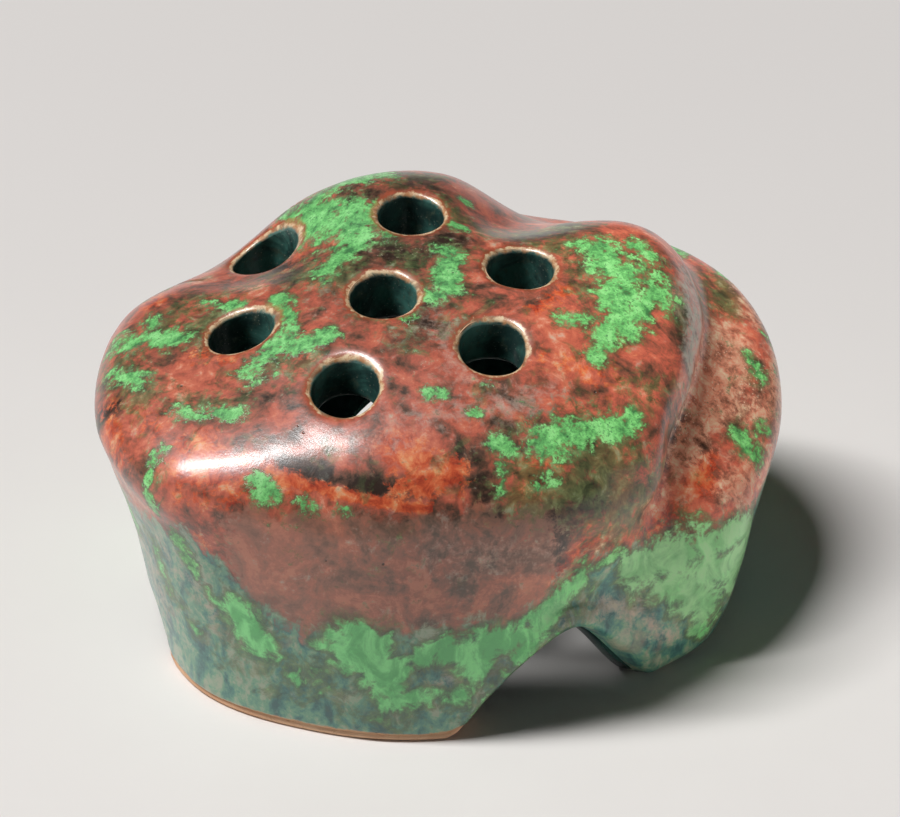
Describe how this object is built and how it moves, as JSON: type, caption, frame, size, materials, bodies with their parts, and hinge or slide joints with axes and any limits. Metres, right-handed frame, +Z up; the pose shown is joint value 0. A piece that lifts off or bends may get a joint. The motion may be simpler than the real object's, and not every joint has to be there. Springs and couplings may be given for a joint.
{
  "type": "flower frog",
  "caption": "Hand-built glazed ceramic flower frog: a lobed hollow dome on arched feet, with upright stem holes in its cap.",
  "frame": {"origin": "on the rest surface, under the middle of the overall box", "axes": "+Z up, the way the stems stand; -Y towards the front, where the low front shoulder is; +X towards the lower lobe at the right"},
  "size_m": [0.1057, 0.0876, 0.0571],
  "materials": {
    "bare_clay": "bare fired buff clay, matte",
    "red_green_glaze": "opaque satin-gloss glaze, ox-blood red and brown broken by leaf green and teal",
    "teal_glaze": "opaque glossy dark teal glaze"
  },
  "bodies": {
    "root": {"clay_body": "bare_clay", "outer_glaze": "red_green_glaze", "cavity_glaze": "teal_glaze", "stem_hole_glaze_centre": "teal_glaze", "stem_hole_glaze_front": "teal_glaze", "stem_hole_glaze_front_right": "teal_glaze", "stem_hole_glaze_right": "teal_glaze", "stem_hole_glaze_back": "teal_glaze", "stem_hole_glaze_back_left": "teal_glaze", "stem_hole_glaze_left": "teal_glaze"}
  },
  "joints": []
}
